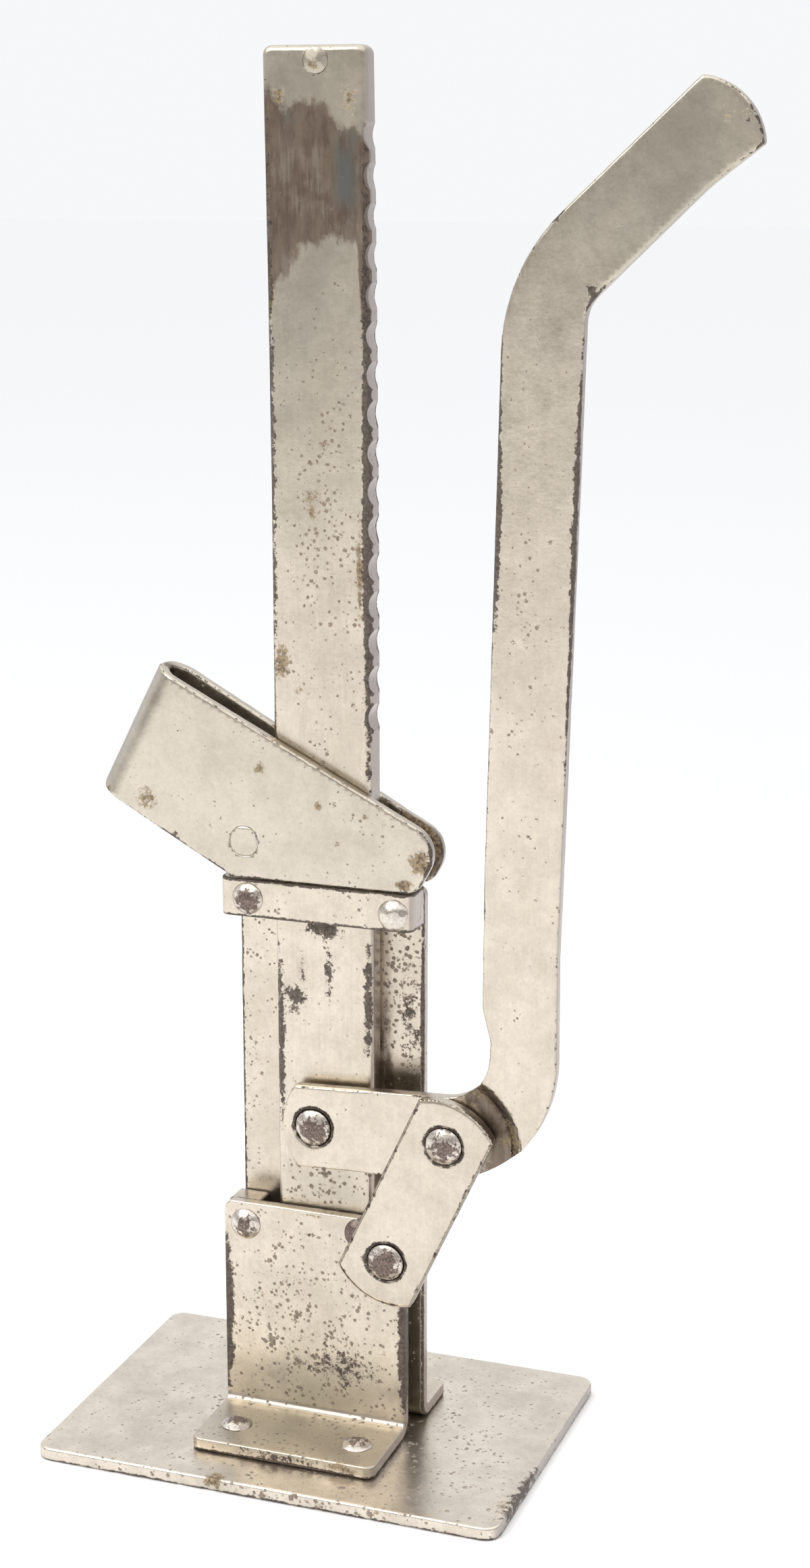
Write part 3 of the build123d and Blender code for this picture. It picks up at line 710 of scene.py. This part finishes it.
# light and shade are the pale and dark tones of the plate
CREAM = dict(light=(0.645, 0.58, 0.49), shade=(0.555, 0.495, 0.408))
# CREAM made paler for the base plate: painted light that brightens its top
CREAM_PAINTED_LIGHTER = dict(light=(0.73, 0.665, 0.58), shade=(0.63, 0.57, 0.49))
GREYER = dict(light=(0.585, 0.53, 0.45), shade=(0.50, 0.45, 0.375))
MATERIALS = {
    "plate_nickel": plated_metal("plate_nickel", pits=0.6, wear=0.75, flakes=0.5, **CREAM),
    "base_nickel_painted_lighter": plated_metal("base_nickel_painted_lighter", pits=0.6, wear=0.7, flakes=0.4, **CREAM_PAINTED_LIGHTER),
    "block_nickel": plated_metal("block_nickel", pits=0.5, wear=0.6, flakes=0.2, **CREAM),
    "bar_nickel": plated_metal("bar_nickel", pits=0.5, wear=0.6, flakes=0.2, streak=1.0, **CREAM),
    "lever_nickel": plated_metal("lever_nickel", pits=0.3, wear=0.3, flakes=0.0, **CREAM),
    "clip_nickel": plated_metal("clip_nickel", pits=0.42, wear=0.4, flakes=0.25, streak=0.2, **GREYER),
    "rivet_steel": hammered_metal("rivet_steel", 0.4),
    "pin_steel": hammered_metal("pin_steel", 0.85),
}
# Nodes whose finish looks different from the rest of their slot, and the base plate, whose paler cream is
# painted light
FINISH = {"base_plate": "base_nickel_painted_lighter", "bar_rivet": "bar_nickel",
          "clip_bearing_pin": "clip_nickel", "clip_dog_pin": "clip_nickel"}

FRONT = (0, -1, 0)
UP = (0, 0, 1)
# rounding of the edges, cell of the mesh, warp of the faces and nick of the edges, in millimetres
HEAD = (0.0, 0.35, 0.02, 0.03)
FOOT_HEAD = (0.0, 0.3, 0.05, 0.05)
WASHER = (0.1, 0.5, 0.01, 0.03)
BLOCK = (0.25, 0.6, 0.02, 0.08)
# node: (body, rounding, cell, warp, nick, shape function). A piece's place in the table seeds its wear.
PIECES = {
    "base_plate": ("frame", 0.4, 0.7, 0.06, 0.25, None),
    "upright": ("frame", 0.3, 0.7, 0.04, 0.12, None),
    "front_bracket": ("frame", 0.3, 0.6, 0.04, 0.14, None),
    "left_spacer": ("frame", *BLOCK, None),
    "right_spacer": ("frame", *BLOCK, None),
    "guide_strap": ("frame", 0.2, 0.5, 0.03, 0.08, None),
    "strap_rivets": ("frame", *HEAD, hammer_heads("strap_rivets", FRONT)),
    "frame_rivet": ("frame", *HEAD, hammer_heads("frame_rivet", FRONT)),
    "stop_rivet": ("frame", *HEAD, hammer_heads("stop_rivet", FRONT)),
    "front_foot_rivets": ("frame", *FOOT_HEAD, hammer_heads("front_foot_rivets", UP, blows=10, depth=0.14)),
    "rear_foot_rivets": ("frame", *FOOT_HEAD, hammer_heads("rear_foot_rivets", UP, blows=10, depth=0.14)),
    "base_washer": ("frame", *WASHER, None),
    "base_pin": ("frame", *HEAD, hammer_heads("base_pin", FRONT)),
    "rack_bar": ("bar", 0.0, 0.6, 0.05, 0.08, lean_bar),
    "bar_rivet": ("bar", 0.0, 0.3, 0.02, 0.04, hammer_heads("bar_rivet", FRONT, blows=6, depth=0.08)),
    "arm_washer": ("bar", *WASHER, None),
    "lever_pin": ("bar", *HEAD, hammer_heads("lever_pin", FRONT)),
    "lever": ("lever", 0.4, 0.7, 0.04, 0.10, smooth_joggle),
    "link": ("link", 0.35, 0.6, 0.03, 0.06, None),
    "link_washer": ("link", *WASHER, None),
    "link_pin": ("link", *HEAD, hammer_heads("link_pin", FRONT)),
    "clip_body": ("clip", 0.4, 0.6, 0.05, 0.10, None),
    "clip_bearing_pin": ("clip", 0.08, 0.5, 0.0, 0.0, None),
    "clip_dog_pin": ("dog", 0.1, 0.5, 0.02, 0.03, None),
}
# node: (x, z, radius) zones in millimetres where the edges stay crisp and clean
QUIET = {"clip_body": ((-9.75, 90.8, 3.0),), "clip_bearing_pin": ((-9.75, 90.8, 3.0),),
         "bar_rivet": ((1.35, 198.0, 3.0),)}

scene.view_settings.view_transform = "Standard"
make_camera()
make_world()
make_floor()
make_light("key", place=(-0.55, -0.65, 0.85), target=(0, 0, 0.1), size=(0.5, 0.5), power=5.0)
make_sun("overhead", place=(0.0, -0.1, 1.0), spread=100.0, strength=1.35)

slots = {part["node"]: part["material_slot"] for part in frame["record"]["subparts"]}
for index, (node, (body, rounding, cell, warp, nick, shape)) in enumerate(PIECES.items()):
    piece = worn_piece(node, body, rounding, cell, warp, nick, index, shape, QUIET.get(node, ()))
    piece.data.materials.clear()
    piece.data.materials.append(MATERIALS[FINISH.get(node, slots[node])])
